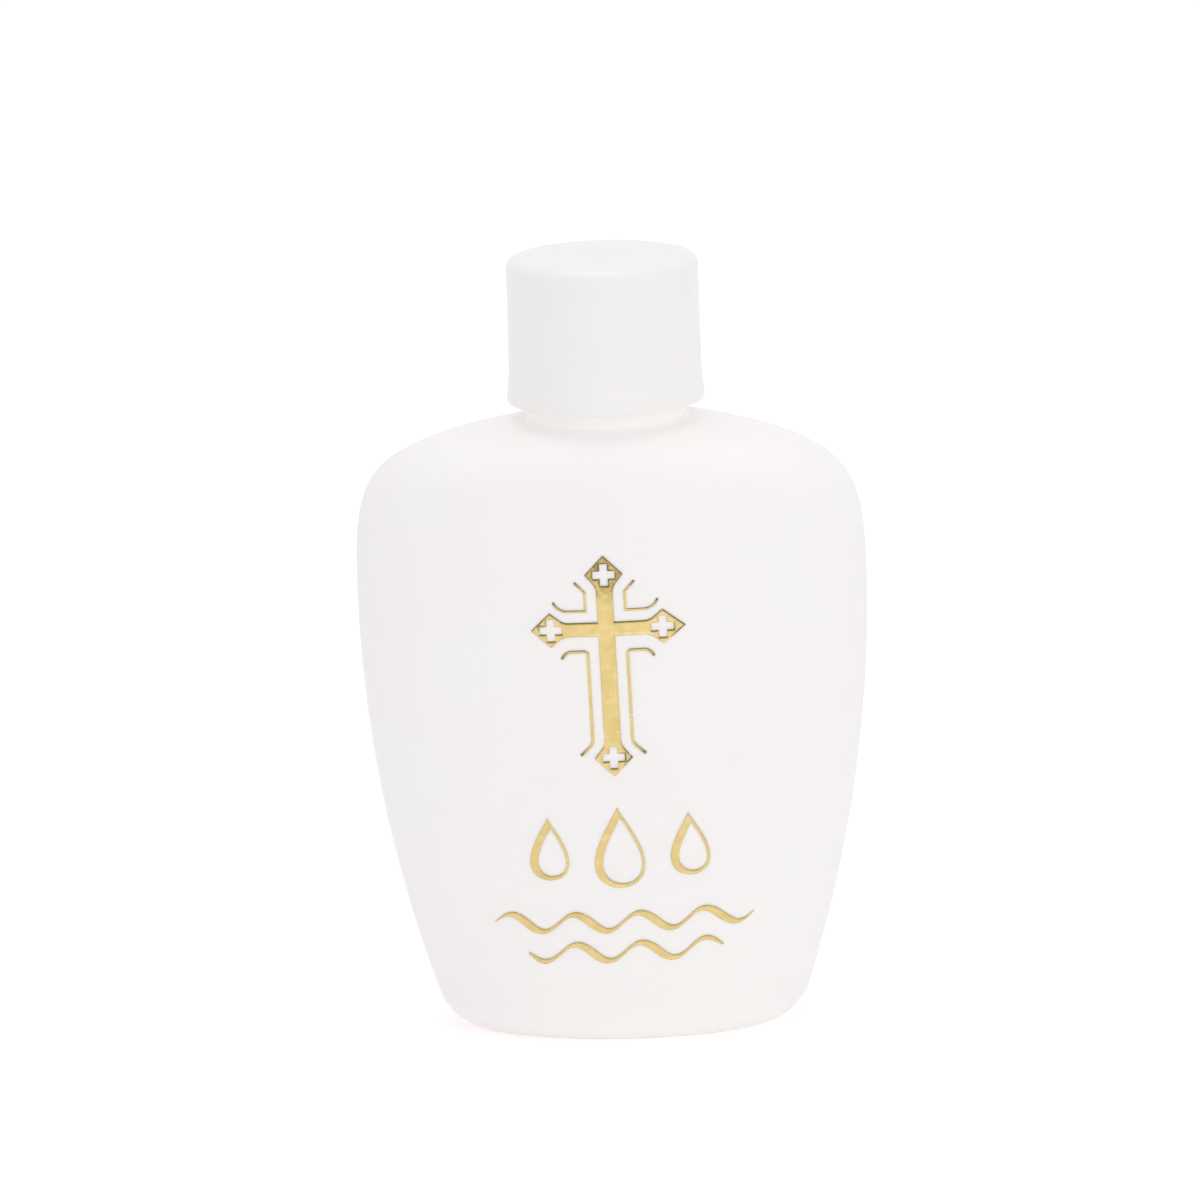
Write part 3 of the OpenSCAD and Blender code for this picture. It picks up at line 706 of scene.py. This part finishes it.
def wave_loops(length, z):
    """A rippling line whose falling stretches are thick, fading at its ends."""
    points = math.ceil(length / WAVE_RIPPLE * WAVE_RIPPLE_POINTS) + 1
    x = length * (np.linspace(0, 1, points) - 0.5)
    phase = 2 * np.pi * x / WAVE_RIPPLE
    fade = WAVE_TIP + (1 - WAVE_TIP) * np.minimum(1, (length / 2 - np.abs(x)) / WAVE_FADE)
    widths = fade * (WAVE_THIN + (WAVE_THICK - WAVE_THIN) * (1 - np.cos(phase)) / 2)
    return [ribbon(np.stack([x, z - CROSS_Z + WAVE_RISE * np.sin(phase)], 1), widths)]


# The foil's mesh

def is_inside(points, starts, ends):
    """Which points lie inside the loops, by counting the edges to their right."""
    x, z = points[:, :1], points[:, 1:]
    crosses = (starts[:, 1] > z) != (ends[:, 1] > z)
    rise = np.where(ends[:, 1] == starts[:, 1], 1, ends[:, 1] - starts[:, 1])
    at = starts[:, 0] + (z - starts[:, 1]) / rise * (ends[:, 0] - starts[:, 0])
    return (crosses & (x < at)).sum(1) % 2 == 1


def from_edge(points, starts, ends):
    """Distance of points from the nearest edge, the way to it, and which edge it is."""
    d = ends - starts
    rel = points[:, None] - starts
    share = np.clip((rel * d).sum(-1) / (d * d).sum(-1), 0, 1)
    gap = rel - share[..., None] * d
    size = np.linalg.norm(gap, axis=-1)
    near = size.argmin(1)
    row = np.arange(len(points))
    return size[row, near], -gap[row, near] / np.maximum(size[row, near], TINY)[:, None], near


def inner_points(starts, ends):
    """A triangular grid of points inside the loops, clear of their edges."""
    low, high = starts.min(0), starts.max(0)
    rows = []
    for k, z in enumerate(np.arange(low[1], high[1], FOIL_STEP * math.sqrt(3) / 2)):
        x = np.arange(low[0] + (k % 2) * FOIL_STEP / 2, high[0], FOIL_STEP)
        rows.append(np.stack([x, np.full_like(x, z)], 1))
    grid = np.concatenate(rows)
    grid = grid[is_inside(grid, starts, ends)]
    return grid[from_edge(grid, starts, ends)[0] > EDGE_CLEAR * FOIL_STEP]


def fill(loops, starts, ends):
    """Points and triangles that fill the loops, all turned the same way."""
    edges, first = [], 0
    for loop in loops:
        edges += [(first + k, first + (k + 1) % len(loop)) for k in range(len(loop))]
        first += len(loop)
    corners = [Vector(p) for p in np.concatenate([starts, inner_points(starts, ends)])]
    points, _, faces, _, _, _ = delaunay_2d_cdt(corners, edges, [], 0, MESH_TOLERANCE)
    points = np.array([tuple(p) for p in points])
    faces = np.array([list(f) for f in faces])
    faces = faces[is_inside(points[faces].mean(1), starts, ends)]
    a, b, c = (points[faces[:, k]] for k in range(3))
    turn = (b[:, 0] - a[:, 0]) * (c[:, 1] - a[:, 1]) - (b[:, 1] - a[:, 1]) * (c[:, 0] - a[:, 0])
    faces[turn < 0] = faces[turn < 0][:, ::-1]
    used = np.unique(faces)
    number = np.full(len(points), -1)
    number[used] = np.arange(len(used))
    return points[used], number[faces]


def edge_ways(edge, way, near, starts, ends):
    """The way that the nearest edge faces, at points whose from_edge is given."""
    d = ends - starts
    normal = np.stack([d[:, 1], -d[:, 0]], 1) / np.linalg.norm(d, axis=1)[:, None]
    normal[is_inside((starts + ends) / 2 + normal * PROBE, starts, ends)] *= -1
    return np.where((edge > ON_EDGE)[:, None], way, normal[near])


def nearness(points, places):
    """1 at the given (x, z, reach) places, falling to 0 at their reach."""
    near = np.zeros(len(points))
    for x, z, reach in places:
        near = np.maximum(near, hump(np.hypot(points[:, 0] - x, points[:, 1] - z) / reach))
    return near


def front_y(x, z):
    """Where the front surface lies at x and height z."""
    t_table = np.linspace(0, 1, SHOULDER_TABLE)
    table = shoulder_rings(0, t_table)
    t = np.interp(z, table[:, 2], t_table)
    ring = np.where((z < WIDEST_Z)[:, None], side_rings(0, np.minimum(z, WIDEST_Z)), shoulder_rings(0, t))
    return -ring[:, 1] * np.sqrt(1 - (x / ring[:, 0]) ** 2)


def closed(faces, count):
    """Faces of a closed skin: these in front, the same behind on points numbered count higher, and sides."""
    sides = {}
    for f in faces.tolist():
        for p, q in zip(f, f[1:] + f[:1]):
            if sides.pop((q, p), None) is None:
                sides[(p, q)] = True
    behind = (faces[:, ::-1] + count).tolist()
    return faces.tolist() + behind + [(q, p, p + count, q + count) for p, q in sides]


def add_foil(where, loops, material, strength, dark_faces=(), dark_edges=()):
    """A piece of foil that follows the front surface, a little dished and with a raised rim.

    strength is that of the painted shade on its edges; dark_faces are (x, z, reach) places about the
    crossing where the face is darker, dark_edges places where that painted shade goes all round the edges."""
    loops = [spread(np.array(list(loop) + [loop[0]], float), FOIL_STEP)[:-1] for loop in loops]
    starts = np.concatenate(loops)
    ends = np.concatenate([np.roll(loop, -1, 0) for loop in loops])
    flat, faces = fill(loops, starts, ends)

    edge, way, near = from_edge(flat, starts, ends)
    outward = edge_ways(edge, way, near, starts, ends)
    face = nearness(flat, dark_faces)
    # painted shade: edges that face up, and all edges at the dark places, are darkened as if in shadow
    shade_share = np.maximum(np.clip(outward @ SHADE_WAY, 0, 1), nearness(flat, dark_edges))
    shade = strength * np.clip(1 - edge / SHADE_W, 0, 1) * np.maximum(shade_share, FACE_SHADE * face)

    placed = np.array(turned(flat.tolist(), STAMP_LEAN)) + (0, CROSS_Z)
    wall_y = front_y(placed[:, 0], placed[:, 1])
    lift = FOIL_MIDDLE + FOIL_RIM * np.exp(-(edge / FOIL_RIM_W) ** 2)
    points = np.concatenate([np.stack([placed[:, 0], y, placed[:, 1]], 1) for y in (wall_y - lift, wall_y)])
    skin = closed(faces, len(flat))
    piece = add_piece("gold_" + where, points, skin, "foil_" + where, "bottle", "gold_foil", material)
    for key, values in (("painted_edge_shade", shade), ("darker_face", face)):
        tone = piece.data.attributes.new(key, "FLOAT", "POINT")
        tone.data.foreach_set("value", np.concatenate([values, values]).astype(np.float32))


# Materials

class Net:
    """The nodes of a material or world being put together."""

    def __init__(self, owner, shader="Principled BSDF", place="Object"):
        self.owner = owner
        owner.use_nodes = True
        self.tree = owner.node_tree
        self.shader = self.tree.nodes[shader]
        self.place = self.add("ShaderNodeTexCoord").outputs[place]

    def put(self, socket, value):
        """Give a socket a number or colour, or link another node's output to it."""
        if isinstance(value, bpy.types.NodeSocket):
            self.tree.links.new(value, socket)
        else:
            socket.default_value = (*value, 1) if socket.type == "RGBA" else value

    def add(self, kind, inputs=(), **settings):
        """A new node with these settings, and these values or links at its inputs."""
        node = self.tree.nodes.new(kind)
        for key, value in settings.items():
            setattr(node, key, value)
        for key, value in dict(inputs).items():
            self.put(node.inputs[key], value)
        return node

    def feed(self, **values):
        """Give the shader's sockets values or links: Base_Color stands for Base Color."""
        for key, value in values.items():
            self.put(self.shader.inputs[key.replace("_", " ")], value)

    def noise(self, scale, detail):
        node = self.add("ShaderNodeTexNoise", {
            "Scale": scale, "Detail": detail, "Roughness": NOISE_ROUGHNESS, "Vector": self.place})
        return node.outputs["Fac"]

    def ramp(self, source, stops):
        """Colours along a source, as (place, colour) pairs."""
        node = self.add("ShaderNodeValToRGB", {"Fac": source})
        points = node.color_ramp.elements
        while len(points) < len(stops):
            points.new(0.5)
        for point, (place, colour) in zip(points, stops):
            point.position = place
            point.color = (*colour, 1)
        return node.outputs["Color"]

    def span(self, source, low, high, from_low=0.3, from_high=0.7):
        """A source mapped from its own range, at first the usual one of noise, to another."""
        node = self.add("ShaderNodeMapRange", {
            "Value": source, "From Min": from_low, "From Max": from_high, "To Min": low, "To Max": high})
        return node.outputs["Result"]

    def math(self, operation, a, b):
        return self.add("ShaderNodeMath", {0: a, 1: b}, operation=operation).outputs[0]

    def height(self):
        """The upright part of a place or direction."""
        return self.add("ShaderNodeSeparateXYZ", {0: self.place}).outputs["Z"]

    def attribute(self, name):
        return self.add("ShaderNodeAttribute", attribute_name=name).outputs["Fac"]

    def mix(self, share, a, b):
        """Colour a where share is 0, colour b where it is 1."""
        return self.add("ShaderNodeMix", {0: share, 6: a, 7: b}, data_type="RGBA").outputs[2]

    def bump(self, height, strength, distance):
        node = self.add("ShaderNodeBump", {"Strength": strength, "Distance": distance, "Height": height})
        self.feed(Normal=node.outputs["Normal"])

    def seen_directly(self):
        """1 on camera, glossy and transmission rays."""
        path = self.add("ShaderNodeLightPath").outputs
        seen = self.math("MAXIMUM", path["Is Camera Ray"], path["Is Glossy Ray"])
        return self.math("MAXIMUM", seen, path["Is Transmission Ray"])


def plastic(name, pale, deep, rough):
    """Milky moulded plastic: cloudy, with a fine skin and faint scuffs."""
    net = Net(bpy.data.materials.new(name))
    clouds = net.ramp(net.noise(*CLOUD_NOISE), ((CLOUD_FROM, deep), (CLOUD_TO, pale)))
    net.feed(Base_Color=clouds, Roughness=net.span(net.noise(*SCUFF_NOISE), *rough), IOR=PLASTIC_IOR)
    net.feed(Subsurface_Weight=MILK, Subsurface_Radius=MILK_COLOUR, Subsurface_Scale=MILK_DEPTH)
    swell = net.math("MULTIPLY", net.noise(*SWELL_NOISE), SWELL)
    net.bump(net.math("ADD", net.noise(*SKIN_NOISE), swell), *SKIN_BUMP)
    return net


def add_painted_glow(net):
    """Painted glow that lightens the shade where other surfaces shut a milky wall in, less near the base."""
    around = net.add("ShaderNodeAmbientOcclusion", {"Distance": PAINTED_GLOW_REACH}, samples=PAINTED_GLOW_LOOKS)
    glow_in_shade = net.span(around.outputs["AO"], PAINTED_GLOW_STRENGTH, 0, PAINTED_GLOW_SHUT, PAINTED_GLOW_OPEN)
    share = net.span(net.height(), PAINTED_GLOW_LOW, 1, PAINTED_GLOW_LOW_Z, PAINTED_GLOW_FULL_Z)
    # painted glow: emission that lightens the shade where the wall is shut in
    net.feed(Emission_Color=PAINTED_GLOW_COLOUR, Emission_Strength=net.math("MULTIPLY", glow_in_shade, share))


def foam():
    """Pressed white foam with small cells."""
    net = Net(bpy.data.materials.new("liner_foam"))
    cells = net.add("ShaderNodeTexVoronoi", {"Scale": CELL_SCALE, "Vector": net.place}).outputs["Distance"]
    net.feed(Base_Color=net.ramp(cells, CELL_TONES), Roughness=net.span(net.noise(*FOAM_NOISE), *FOAM_ROUGH))
    net.bump(cells, *CELL_BUMP)
    return net


def gold():
    """Gold foil, hot-stamped: bright, a little uneven, with pinholes, darker faces, painted shade on upper
    edges.
    """
    net = Net(bpy.data.materials.new("gold_foil"))
    tone = net.ramp(net.noise(*GOLD_NOISE), GOLD_TONES)
    mottle = net.span(net.noise(*MOTTLE_NOISE), *MOTTLE, MOTTLE_FROM, MOTTLE_TO)
    tone = net.mix(net.math("MULTIPLY", net.attribute("darker_face"), mottle), tone, DARK_FACE)
    # painted shade along the upper edges of the foil
    edge = net.span(net.attribute("painted_edge_shade"), 0, EDGE_SHADE_MOST, EDGE_FROM, EDGE_TO)
    tone = net.mix(edge, tone, DARK_EDGE)
    holes = net.span(net.noise(*HOLE_NOISE), 0, 1, HOLE_FROM, HOLE_TO)
    tone = net.mix(holes, tone, HOLE_TONE)
    net.feed(Base_Color=tone, Metallic=net.math("SUBTRACT", 1.0, holes))
    net.feed(Roughness=net.span(net.noise(*GOLD_ROUGH_NOISE), *GOLD_ROUGH))
    net.bump(net.noise(*GOLD_BUMP_NOISE), *GOLD_BUMP)
    return net


# Floor, light and camera

def add_world():
    """The studio's tent, plain white where it is seen directly."""
    world = bpy.data.worlds.new("studio")
    bpy.context.scene.world = world
    net = Net(world, "Background", "Generated")
    tent = net.ramp(net.height(), [(height, (light, light, light)) for height, light in TENT_LIGHT])
    net.feed(Color=WHITE, Strength=tent)
    white = net.add("ShaderNodeBackground", {"Color": WHITE, "Strength": 1})
    mix = net.add("ShaderNodeMixShader", {
        0: net.seen_directly(), 1: net.shader.outputs[0], 2: white.outputs[0]})
    net.put(net.tree.nodes["World Output"].inputs["Surface"], mix.outputs[0])


def add_floor():
    """A white floor that takes the object's shadow, and looks white further off too."""
    mesh = bpy.data.meshes.new("floor")
    corners = ((-1, -1), (1, -1), (1, 1), (-1, 1))
    mesh.from_pydata([(x * FLOOR_REACH, y * FLOOR_REACH, 0) for x, y in corners], [], [(0, 1, 2, 3)])
    floor = add_object("floor", mesh)
    net = Net(bpy.data.materials.new("floor"))
    away = net.add("ShaderNodeVectorMath", {0: net.place}, operation="LENGTH").outputs["Value"]
    glow = net.span(away, NEAR_GLOW, FAR_GLOW, NEAR_TO, FAR_FROM)
    net.feed(Base_Color=(FLOOR_TONE, FLOOR_TONE, FLOOR_TONE), Roughness=FLOOR_ROUGH, Specular_IOR_Level=0)
    net.feed(Emission_Color=WHITE, Emission_Strength=net.math("MULTIPLY", net.seen_directly(), glow))
    mesh.materials.append(net.owner)


def add_lamp(name, place, size, power):
    """A round lamp that points at the object."""
    data = bpy.data.lights.new(name, "AREA")
    data.shape = "DISK"
    data.size = size
    data.energy = power
    lamp = add_object(name, data)
    lamp.location = place
    lamp.rotation_euler = (Vector(LAMP_AIM) - Vector(place)).to_track_quat("-Z", "Y").to_euler()


def add_camera():
    """The photograph's camera, turned so that the point on the axis is seen where it lies in the picture."""
    target = Vector((0, 0, TARGET_Z)) * MM
    across, rise = math.cos(CAMERA_ELEVATION), math.sin(CAMERA_ELEVATION)
    away = Vector((math.sin(CAMERA_AZIMUTH) * across, -math.cos(CAMERA_AZIMUTH) * across, rise))
    place = target + away * (CAMERA_DISTANCE * MM)
    right = Vector((math.cos(CAMERA_AZIMUTH), math.sin(CAMERA_AZIMUTH), 0))
    up = away.cross(right)
    c, s = math.cos(CAMERA_ROLL), math.sin(CAMERA_ROLL)
    right, up = c * right - s * up, s * right + c * up
    aside, down = ((seen - PICTURE / 2) / PICTURE_SCALE * MM for seen in TARGET_SEEN)
    aim = target - right * aside + up * down
    back = (place - aim).normalized()
    right = up.cross(back).normalized()
    up = back.cross(right)
    data = bpy.data.cameras.new("camera")
    data.sensor_width = SENSOR
    data.lens = PICTURE_SCALE * CAMERA_DISTANCE / PICTURE * SENSOR
    data.clip_start = CLIP_START
    camera = add_object("camera", data)
    camera.matrix_world = Matrix.Translation(place) @ Matrix((right, up, back)).transposed().to_4x4()
    bpy.context.scene.camera = camera


# The pieces
flask_plastic = plastic("bottle_plastic", FLASK_PALE, FLASK_DEEP, FLASK_ROUGH)
# painted glow in the flask's shut-in shade
add_painted_glow(flask_plastic)
cap_plastic = plastic("cap_plastic", CAP_PALE, CAP_DEEP, CAP_ROUGH)
liner_foam = foam()
gold_foil = gold().owner

add_piece("flask", *sheet(flask_grid()), "bottle_body", "bottle", "bottle_plastic", flask_plastic.owner)
add_piece("cap", *sheet(cap_grid()), "screw_cap", "cap", "cap_plastic", cap_plastic.owner)
add_piece("liner", *sheet(liner_grid()), "cap_liner", "liner", "liner_foam", liner_foam.owner)

add_foil("cross", cross_loops(), gold_foil, CROSS_SHADE, CROSS_DARK_FACES, CROSS_DARK_EDGES)
strokes = (("upper", upper_stroke, STROKE_UP_W), ("lower", lower_stroke, STROKE_DOWN_W))
for side_name, side in (("left", -1), ("right", 1)):
    for up_name, path, width in strokes:
        line = path(side)
        outline = ribbon(line, [width] * len(line))
        line_ends = [(*line[0], STROKE_DARK), (*line[-1], STROKE_DARK)]
        add_foil(f"stroke_{up_name}_{side_name}", [outline], gold_foil, STROKE_SHADE, line_ends)
for place_name, place in (("left", -1), ("middle", 0), ("right", 1)):
    add_foil("drop_" + place_name, drop_loops(place), gold_foil, LOWER_SHADE)
for up_name, length, z in (("upper", WAVE_UPPER_L, WAVE_Z), ("lower", WAVE_LOWER_L, WAVE_Z - WAVE_STEP)):
    add_foil("wave_" + up_name, wave_loops(length, z), gold_foil, LOWER_SHADE)

# The studio
add_world()
add_floor()
for lamp in LAMPS:
    add_lamp(*lamp)
add_camera()
bpy.context.scene.view_settings.view_transform = "Standard"
bpy.context.scene.cycles.diffuse_bounces = DIFFUSE_BOUNCES
bpy.context.scene.cycles.max_bounces = MAX_BOUNCES
